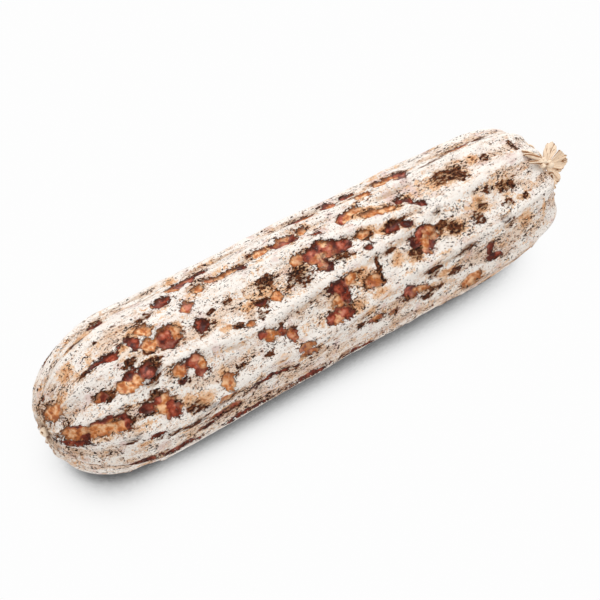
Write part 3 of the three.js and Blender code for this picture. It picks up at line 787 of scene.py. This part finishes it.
def casing_material():
    shader = Shader("bloomed_casing")
    plus, times, step, mix = shader.plus, shader.times, shader.step, shader.mix

    def noise_of(name):
        return shader.noise(*CASING_NOISES[name])

    names = ("kind", "side", "peach", "crumb", "crest", "crease", "lines", "dry", "casing", "bud_ring")
    kind, side, peach, crumb, crest, crease, lines, dry, casing, bud_ring = map(shader.attribute, names)
    bare = shader.math("ADD", shader.attribute("bare"), SPOT_GROWTH)
    grain = shader.math("SUBTRACT", noise_of("grain"), 0.5)
    coarse_grain = shader.math("SUBTRACT", noise_of("coarse_grain"), 0.5)
    near_spot = step(bare, -3.0, 0.3)
    # Painted shade: how low a place lies between the crests
    valley_shade = shader.one_minus(crest)

    # Meat behind the casing: soft blobs of lean or fat, darker between the blobs as painted shade that
    # rounds them, and a dark dried rim round each spot that is deeper on the upper edge as a painted shadow
    # of the overhanging casing
    blobs = shader.blobs(BLOB_SIZE, BLOB_SHIFT)
    fat = plus(times(blobs.outputs["Color"], 0.75), (kind, 0.8), (coarse_grain, 0.3))
    fat = step(fat, 0.64, 0.86)
    lean_tone = plus(noise_of("lean"), (shader.math("SUBTRACT", kind, 0.3), 0.35))
    lean = shader.ramp(lean_tone, [
        (0.32, DARK_LEAN_AND_SHADE), (0.44, RED_BROWN), (0.54, MID_RED), (0.72, PINK_BROWN),
    ])
    fat_colour = shader.ramp(noise_of("fat"), [(0.36, DEEP_FAT_AND_SHADE), (0.46, AMBER), (0.6, PEACH)])
    meat = mix(fat, lean, fat_colour)
    # Painted shade between the blobs, in the dark lean or deep fat colour
    blob_shade = step(plus(blobs.outputs["Distance"], (coarse_grain, 0.4)), 0.42, 0.7)
    meat = mix(times(blob_shade, 0.55), meat, mix(fat, DARK_LEAN_AND_SHADE, DEEP_FAT_AND_SHADE))
    # Dark edge of each spot: a dried rim all round, and on the upper edge a painted shadow of the casing
    # that overhangs it
    upper = step(times(side, -1.0), 0.1, 0.8)
    edge = shader.one_minus(step(bare, 0.1, 1.3))
    edge = times(edge, shader.math("ADD", times(upper, 0.6), 0.4))
    meat = mix(edge, meat, mix(fat, DRY_EDGE_AND_SHADOW, BROWN_EDGE_AND_SHADOW))

    # Bloom: thick and white on the ridges, thin and mottled between them; the low places between the ridges
    # and the creases are also pushed towards the cream as painted shade
    thin = plus(noise_of("thin"), (valley_shade, 0.17), (crease, 0.1), (near_spot, 0.04), (dry, 0.08))
    thin = step(thin, 0.575, 0.7)
    bloom = mix(times(thin, 0.8), BLOOM_WHITE_AND_HIGHLIGHT, BLOOM_CREAM_AND_SHADE)
    bloom = mix(times(step(noise_of("rose"), 0.56, 0.7), 0.7), bloom, BLOOM_ROSE)
    dust = step(plus(noise_of("dust"), (grain, 0.9), (thin, 0.06)), 0.58, 0.7)
    dust_colour = mix(step(coarse_grain, -0.05, 0.12), BLOOM_DUST, TAN_STAIN)
    bloom = mix(times(dust, 0.7), bloom, dust_colour)

    # Dry casing, its fine lines, and painted shade in the creases below the crests
    dry_share = times(dry, step(coarse_grain, -0.12, 0.1))
    bloom = mix(times(dry_share, 0.6), bloom, TAN_STAIN)
    line_share = times(lines, step(coarse_grain, -0.14, 0.04))
    bloom = mix(times(line_share, 0.8), bloom, BROWN_STAIN)
    crease_shade = step(plus(crease, (coarse_grain, 1.5)), 0.1, 0.9)
    bloom = mix(times(crease_shade, 0.55), bloom, BLOOM_SHADE)

    # Fat that shows through: a soft tan tint, and over it stains that grains of bloom break up
    tint = step(plus(peach, (coarse_grain, 1.4)), -0.25, 0.45)
    bloom = mix(times(tint, 0.75), bloom, TAN_STAIN)
    patch = times(shader.math("SUBTRACT", noise_of("patch"), 0.59), 4.0)
    stain = shader.math("MAXIMUM", times(peach, 1.2), plus(patch, (thin, 0.16)))
    stain = plus(stain, (coarse_grain, 3.4), (near_spot, 0.15))
    stain_tone = plus(noise_of("stain"), (step(peach, -0.1, 0.5), 0.1))
    stain_colour = shader.ramp(stain_tone, [(0.5, TAN_STAIN), (0.66, AMBER_STAIN), (0.76, BROWN_STAIN)])
    bloom = mix(step(stain, 0.02, 0.45), bloom, stain_colour)

    # Dark meat under thin bloom, and crumbs of dried meat juice over it
    olive = step(plus(crumb, (coarse_grain, 1.6)), -0.1, 0.45)
    bloom = mix(times(olive, 0.65), bloom, OLIVE_STAIN)
    crumbs = plus(noise_of("crumbs"), (step(crumb, -0.3, 0.5), 0.18), (near_spot, 0.065))
    crumbs = plus(crumbs, (thin, 0.045), (crease, 0.05))
    crust_colour = mix(step(coarse_grain, -0.08, 0.06), BLACK_CRUST, BROWN_CRUST)
    bloom = mix(step(crumbs, 0.64, 0.66), bloom, crust_colour)

    # Dark specks, gathered in lengthwise clusters, and fine brown freckles
    gather = plus(times(step(noise_of("gather"), 0.45, 0.62), 0.1), (thin, 0.05))
    speck = step(shader.math("ADD", noise_of("speck"), gather), 0.66, 0.675)
    bloom = mix(speck, bloom, SPECK)
    freckle = step(plus(noise_of("freckle"), (thin, 0.05), (near_spot, 0.04)), 0.64, 0.66)
    bloom = mix(times(freckle, 0.75), bloom, BROWN_STAIN)

    # White crests, clean of specks and brightened as a painted highlight, bare dry casing at both ends, and
    # the dark ring round the bud
    crest_highlight = plus(shader.math("POWER", crest, 20.0), (coarse_grain, 2.4), (thin, -0.3))
    bloom = mix(times(step(crest_highlight, 0.5, 1.0), 0.6), bloom, BLOOM_WHITE_AND_HIGHLIGHT)
    folded = plus(coarse_grain, (lines, 0.7))
    dry_skin = mix(step(folded, 0.0, 0.45), DRY_CASING, CASING_SHADE_AND_TONE)
    bloom = mix(casing, bloom, dry_skin)
    bloom = mix(times(bud_ring, 0.9), bloom, BROWN_CRUST)

    # Torn edge between bloom and bare meat
    open_share = step(plus(bare, (coarse_grain, 4.0)), -0.1, 0.2)
    flecks = times(step(noise_of("flecks"), 0.62, 0.7), 0.85)
    open_share = times(open_share, shader.one_minus(flecks))

    # Powder and fibres, calmer on the bare meat
    calm = shader.one_minus(times(open_share, 0.75))
    powder = plus(times(coarse_grain, calm), (open_share, -0.8))
    normal = shader.bump(powder, *POWDER_BUMP)
    normal = shader.bump(times(noise_of("fibres"), calm), *FIBRE_BUMP, normal)
    shader.fill(shader.surface, {
        "Base Color": mix(open_share, bloom, meat),
        "Roughness": plus(BLOOM_ROUGHNESS, (open_share, -MEAT_SMOOTHNESS)),
        "Specular IOR Level": CASING_SPECULAR,
        "Normal": normal,
    })
    return shader.material


# Dry casing and twine: pale, browner in the folds and grooves as painted shade, and in blotches of darker
# tone
def fibre_material(name, pale, dark, roughness):
    shader = Shader(name)
    blotch = shader.noise(BLOTCH_SIZE, 3.0, 0.6, shift=12.0)
    share = shader.math("ADD", shader.attribute("fold_shade_and_tone"), shader.math("SUBTRACT", blotch, 0.5))
    fibres = shader.noise(FIBRE_SIZE, 3.0, 0.6, shift=5.0)
    shader.fill(shader.surface, {
        "Base Color": shader.mix(shader.step(share, 0.35, 1.0), pale, dark),
        "Roughness": roughness,
        "Specular IOR Level": FIBRE_SPECULAR,
        "Normal": shader.bump(fibres, *FIBRE_RELIEF),
    })
    return shader.material


def finish_piece(piece, material, node):
    piece.data.materials.clear()
    piece.data.materials.append(material)
    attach(piece, "root")
    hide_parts(node)


# Closed shapes gathered into one piece, with an attribute for each point that paints shade: how deep in a
# fold or groove it lies, or how close to where it meets another piece; it also carries darker veins and
# rims on the sheets and the bud's darker tip
class Pile:
    def __init__(self):
        self.points = []
        self.faces = []
        self.fold_shade_and_tone = []

    def add(self, points, faces, fold_shade_and_tone):
        first = len(self.points)
        self.points.extend(np.asarray(points).tolist())
        self.faces.extend([tuple(corner + first for corner in face) for face in faces])
        self.fold_shade_and_tone.extend(np.asarray(fold_shade_and_tone).ravel().tolist())

    def piece(self, name):
        return make_mesh(name, self.points, self.faces, {"fold_shade_and_tone": self.fold_shade_and_tone})


def add_rings(pile, rings, start, end, fold_shade_and_tone):
    points = [start, *[point for ring in rings for point in ring], end]
    faces = ring_faces(len(rings), len(rings[0]), 1, 0, len(points) - 1)
    fold_shade_and_tone = np.asarray(fold_shade_and_tone)
    pile.add(points, faces, [fold_shade_and_tone[0].mean(), *fold_shade_and_tone.ravel(), fold_shade_and_tone[-1].mean()])


# Tube along a path, with its radius and its painted fold shade given for each place along and turn around
def add_tube(pile, path, radius_at, sides):
    path = np.asarray(path, float)
    directions = np.gradient(path, axis=0)
    directions /= np.linalg.norm(directions, axis=1, keepdims=True)
    turns = np.arange(sides) * 2 * math.pi / sides
    rings, folds = [], []
    upper = np.array([0.0, 0.0, 1.0])
    for index, (middle, direction) in enumerate(zip(path, directions)):
        side = np.cross(direction, upper)
        side /= np.linalg.norm(side)
        upper = np.cross(side, direction)
        radius, fold_shade_and_tone = radius_at(index / (len(path) - 1), turns)
        ring = middle + radius[:, None] * (np.cos(turns)[:, None] * upper + np.sin(turns)[:, None] * side)
        rings.append(ring)
        folds.append(fold_shade_and_tone)
    add_rings(pile, rings, path[0], path[-1], folds)


def neck_radius_at(part, turns):
    place = -NECK_SINK + (NECK_LENGTH + NECK_SINK) * part
    gathered = smoothstep(-FAR_PUCKER["depth"], TIE_PLACE - 1.5, place)
    radius = NECK_START_RADIUS + (NECK_RADIUS - NECK_START_RADIUS) * gathered
    pleat = np.cos(NECK_PLEATS * turns + NECK_TURN * part)
    # Painted shade in the hollows between the pleats
    return radius * (1 + NECK_PLEAT_SHARE * pleat), 0.5 - 0.5 * pleat


def far_face_point(angle, away, lift):
    turn = np.radians(angle)
    fall = FAR_REACH * (1 - (1 - (away / FAR_RADIUS) ** FAR_POWER) ** (1 / FAR_POWER))
    return FAR_POLE + np.stack([lift - fall, -away * np.sin(turn), away * np.cos(turn)], -1)


def strand_path(angle, distance, sweep, phase):
    part = np.linspace(0, 1, STRAND_MESH["places"])
    away = STRAND_END + (distance - STRAND_END) * np.cos(math.pi / 2 * part ** 1.3)
    wander = STRAND_WANDER / (away + 3) * np.sin(7 * part + 2.3 * phase) * (1 - part)
    lift = -STRAND_SINK + (STRAND_LIFT + STRAND_SINK) * smoothstep(0, 0.25, part)
    lift += (TIE_PLACE - 1.4) * part ** 5
    lift += 0.3 * np.sin(9 * part + 1.7 * phase) * (1 - part)
    return far_face_point(angle + sweep * smoothstep(0, 0.6, part) + np.degrees(wander), away, lift)


# Rounded lump with grooves that turn along it
def add_lump(pile, middle, size, direction, places, sides, twist, groove, fold_shade_and_tone):
    def radius_at(part, turns):
        rounding = math.sqrt(max(1 - (2 * part - 1) ** 2, 0.0)) + 0.02
        lay = np.cos(3 * turns + twist * part)
        # Painted shade in the grooves
        return size * rounding * (1 - groove + groove * lay), fold_shade_and_tone[0] - fold_shade_and_tone[1] * lay

    add_tube(pile, middle + np.linspace(-size, size, places)[:, None] * direction, radius_at, sides)


def add_strand(pile, angle, distance, thick, sweep, phase):
    def radius_at(part, turns):
        lay = np.cos(3 * turns + 7 * part + phase)
        tip = 0.4 + 0.6 * math.sqrt(min(part / 0.25, 1))
        narrow = thick * (1 - STRAND_NARROWING * part ** 2) * tip
        uneven = 1 + 0.2 * math.sin(13 * part + 2.9 * phase)
        # Painted shade in the grooves of the twist
        return narrow * uneven * (1 + 0.16 * lay), 0.72 - 0.4 * lay - 0.25 * (uneven - 1)

    add_tube(pile, strand_path(angle, distance, sweep, phase), radius_at, STRAND_MESH["sides"])


def gathered_piece():
    pile = Pile()
    neck_path = FAR_POLE + np.linspace(-NECK_SINK, NECK_LENGTH, NECK_MESH["places"])[:, None] * ALONG_X
    add_tube(pile, neck_path, neck_radius_at, NECK_MESH["sides"])
    for index, strand in enumerate(STRANDS):
        add_strand(pile, *strand, phase=index)
    for angle, distance, lift, size in STRAND_LUMPS:
        add_lump(pile, far_face_point(angle, distance, lift), size, SHEET_RIGHT, **STRAND_LUMP)
    return pile.piece("gathered_neck")


def add_sheet(pile, turn, half_angle, length, peak, rounding, lean, waves, wave_height, seed):
    root = FAR_POLE + (NECK_LENGTH - 0.2) * ALONG_X
    rows, columns = np.linspace(0, 1, SHEET_ROWS), np.linspace(-1, 1, SHEET_COLUMNS)
    along, side = np.meshgrid(rows, columns, indexing="ij")

    # Noise with folds of a width in degrees that change lengthwise at a rate
    def folds(width, rate, shift):
        return noise(np.stack([side * half_angle / width, along * rate, along * 0 + seed], -1), shift)

    fine = folds(6, 0.8, 3.1 * seed)
    edge = 1 - rounding * (side - peak) ** 2 + 0.07 * folds(6, 0, 8.7) + 0.05 * folds(2.2, 0, 4.4)
    angle = np.radians(turn + half_angle * side)
    reach = SHEET_ROOT + (length * edge - SHEET_ROOT) * along
    bent = np.radians(lean) * along
    rise = wave_height * along ** 2 * np.sin(waves * math.pi * side + 1.5 * along)
    rise += 0.42 * fine * smoothstep(0.05, 0.5, along)
    middle = (root
              + (reach * np.cos(bent) * np.cos(angle))[..., None] * SHEET_RIGHT
              + (reach * np.cos(bent) * np.sin(angle))[..., None] * SHEET_UP
              + (reach * np.sin(bent) + rise)[..., None] * SHEET_FRONT)
    normal = np.cross(np.gradient(middle, axis=1), np.gradient(middle, axis=0))
    normal /= np.linalg.norm(normal, axis=-1, keepdims=True) + 1e-9
    skin = normal * SHEET_THICKNESS / 2
    points = np.concatenate([(middle + skin).reshape(-1, 3), (middle - skin).reshape(-1, 3)])
    under = SHEET_ROWS * SHEET_COLUMNS
    grid = np.arange(under).reshape(SHEET_ROWS, SHEET_COLUMNS)
    upper = np.stack([grid[:-1, :-1], grid[:-1, 1:], grid[1:, 1:], grid[1:, :-1]], -1).reshape(-1, 4)
    both = np.stack([upper, upper[:, ::-1] + under], 1).reshape(-1, 4)
    rim = np.concatenate([grid[0], grid[1:, -1], grid[-1, -2::-1], grid[-2:0:-1, 0]])
    after = np.roll(rim, -1)
    border = np.stack([rim, rim + under, after + under, after], -1)
    # Darker veins, painted shade in the hollows of the fine folds and at the root by the neck, and a darker
    # rim
    vein = smoothstep(0.2, 0.0, np.abs(folds(4.5, 1.6, 2.2 * seed + 40)))
    fold_shade_and_tone = 0.75 * vein + 0.35 * smoothstep(0.0, -0.5, fine)
    fold_shade_and_tone += 0.6 * (1 - smoothstep(0.0, 0.4, along)) + 0.25 * smoothstep(0.9, 1.0, along)
    pile.add(points, [*both.tolist(), *border.tolist()], np.concatenate([fold_shade_and_tone.ravel(), fold_shade_and_tone.ravel()]))


def tuft_piece():
    pile = Pile()
    for index, sheet in enumerate(SHEETS):
        add_sheet(pile, *sheet, seed=index + 1)
    return pile.piece("dry_tuft")


# Tie: one ring of twisted twine and a knot on the side that faces up and out
def tie_piece():
    pile = Pile()
    inner = NECK_RADIUS * 1.1 + TIE_GAP
    twine_radius = TIE_THICKNESS / 2
    middle = FAR_POLE + TIE_PLACE * ALONG_X
    places, sides = TIE_MESH["places"], TIE_MESH["sides"]
    side_turns = np.arange(sides) * 2 * math.pi / sides
    points, faces, fold_shade_and_tone = [], [], []
    for index in range(places):
        turn = 2 * math.pi * index / places
        outward = outward_at(turn)
        lay = np.cos(2 * side_turns + TIE_LAYS * turn)
        radius = twine_radius * (1 - TIE_LAY_DEPTH + TIE_LAY_DEPTH * lay)
        across = np.cos(side_turns)[:, None] * outward + np.sin(side_turns)[:, None] * ALONG_X
        points.extend(middle + (inner + twine_radius) * outward + radius[:, None] * across)
        # Painted shade in the grooves between the lays
        fold_shade_and_tone.extend(0.5 - 0.5 * lay)
        here, following = index * sides, (index + 1) % places * sides
        for side in range(sides):
            after = (side + 1) % sides
            faces.append((here + side, here + after, following + after, following + side))
    pile.add(points, faces, fold_shade_and_tone)
    knot_middle = middle + outward_at(math.radians(TIE_KNOT_ANGLE)) * (inner + TIE_KNOT_RADIUS)
    add_lump(pile, knot_middle, TIE_KNOT_RADIUS, ALONG_X, **TIE_KNOT)
    return pile.piece("tie_twine")


def bud_piece():
    pile = Pile()
    outward = BUD_AXIS / np.linalg.norm(BUD_AXIS)
    level = np.cross(outward, [0.0, 0.0, 1.0])
    level /= np.linalg.norm(level)
    upright = np.cross(level, outward)
    pole = NEAR_POLE + NEAR_PUCKER["depth"] * ALONG_X
    turns = np.arange(BUD_SIDES) * 2 * math.pi / BUD_SIDES
    rings, folds = [], []
    for ring in range(BUD_RINGS):
        part = ring / BUD_RINGS
        lift = -BUD_SINK + (BUD_HEIGHT + BUD_SINK) * math.sin(part * math.pi / 2)
        rounding = math.cos(part * math.pi / 2) ** 0.6
        groove = np.cos(2 * turns - part * BUD_SPIRAL_TURNS * 2 * math.pi)
        radius = BUD_RADIUS * rounding * (1 - 0.1 * part ** 0.5 * groove)
        across = np.sin(turns)[:, None] * level + np.cos(turns)[:, None] * upright
        rings.append(pole + outward * lift + radius[:, None] * across)
        tip = smoothstep(0.86, 0.95, part)
        # Painted shade in the spiral grooves and at the foot where the bud sinks into the casing, and a
        # darker tip
        folds.append(0.1 + 0.3 * groove + 0.8 * tip + 0.9 * (1 - smoothstep(0.2, 0.4, part)))
    add_rings(pile, rings, pole - outward * BUD_SINK, pole + outward * (BUD_HEIGHT - BUD_DIMPLE), folds)
    return pile.piece("twisted_bud")


dry_casing = fibre_material("dry_casing", DRY_CASING, CASING_SHADE_AND_TONE, 0.5)
twine = fibre_material("twine", TWINE, TWINE_SHADE_AND_TONE, 0.75)
finish_piece(body_piece(), casing_material(), "sausage")
for make_piece in (bud_piece, gathered_piece, tuft_piece):
    finish_piece(make_piece(), dry_casing, "sausage")
finish_piece(tie_piece(), twine, "tie")


def make_camera():
    azimuth, elevation = math.radians(CAMERA_AZIMUTH), math.radians(CAMERA_ELEVATION)
    level = math.cos(elevation)
    back = Vector((math.sin(azimuth) * level, -math.cos(azimuth) * level, math.sin(elevation)))
    data = bpy.data.cameras.new("camera")
    data.sensor_width = SENSOR_WIDTH
    data.lens = SENSOR_WIDTH * FOCAL_PIXELS / IMAGE_WIDTH
    data.clip_start, data.clip_end = CAMERA_CLIP
    camera = add_object("camera", data)
    camera.location = Vector([part / TO_MILLIMETRES for part in CAMERA_AIM]) + back * CAMERA_DISTANCE
    camera.rotation_euler = (-back).to_track_quat("-Z", "Y").to_euler()
    bpy.context.scene.camera = camera


def make_light(name, place, size, power):
    data = bpy.data.lights.new(name, "AREA")
    data.shape = "DISK"
    data.size = size
    data.energy = power
    light = add_object(name, data)
    light.location = place
    light.rotation_euler = (-Vector(place)).to_track_quat("-Z", "Y").to_euler()


# Floor that glows, with a painted shadow: darker where the sausage hides the sky from it, and darker still
# beyond the near end
def make_floor():
    corners = [(FLOOR_HALF * x, FLOOR_HALF * y, 0) for x, y in ((-1, -1), (1, -1), (1, 1), (-1, 1))]
    mesh = bpy.data.meshes.new("floor")
    mesh.from_pydata(corners, [], [(0, 1, 2, 3)])
    floor = add_object("floor", mesh)
    floor.location.z = -FLOOR_DROP
    shader = Shader("floor")
    sky = {"Distance": FLOOR_REACH, "Normal": FLOOR_LIGHT_SIDE}
    hidden = shader.node("ShaderNodeAmbientOcclusion", sky)
    hidden.samples = FLOOR_SAMPLES
    parts = shader.node("ShaderNodeSeparateXYZ", {0: shader.place})
    # Painted shadow beyond the near end
    near_end = shader.step(shader.times(parts.outputs["X"], -1.0), *FLOOR_NEAR_SHADOW_RANGE)
    seen = shader.plus(hidden.outputs["AO"], (near_end, -FLOOR_NEAR_SHADE))
    glow = [(place, (light, light, light, 1.0)) for place, light in FLOOR_GLOW]
    shader.fill(shader.surface, {
        "Base Color": (0.0, 0.0, 0.0, 1.0),
        "Specular IOR Level": 0.0,
        "Roughness": 1.0,
        "Emission Strength": 1.0,
        "Emission Color": shader.ramp(seen, glow),
    })
    mesh.materials.append(shader.material)


def make_world():
    world = bpy.data.worlds.new("studio")
    world.use_nodes = True
    background = world.node_tree.nodes["Background"]
    background.inputs["Color"].default_value = (1, 1, 1, 1)
    background.inputs["Strength"].default_value = WORLD_STRENGTH
    bpy.context.scene.world = world
    bpy.context.scene.view_settings.view_transform = "Standard"


make_camera()
make_light("key", *KEY_LIGHT)
make_light("rear", *REAR_LIGHT)
make_floor()
make_world()
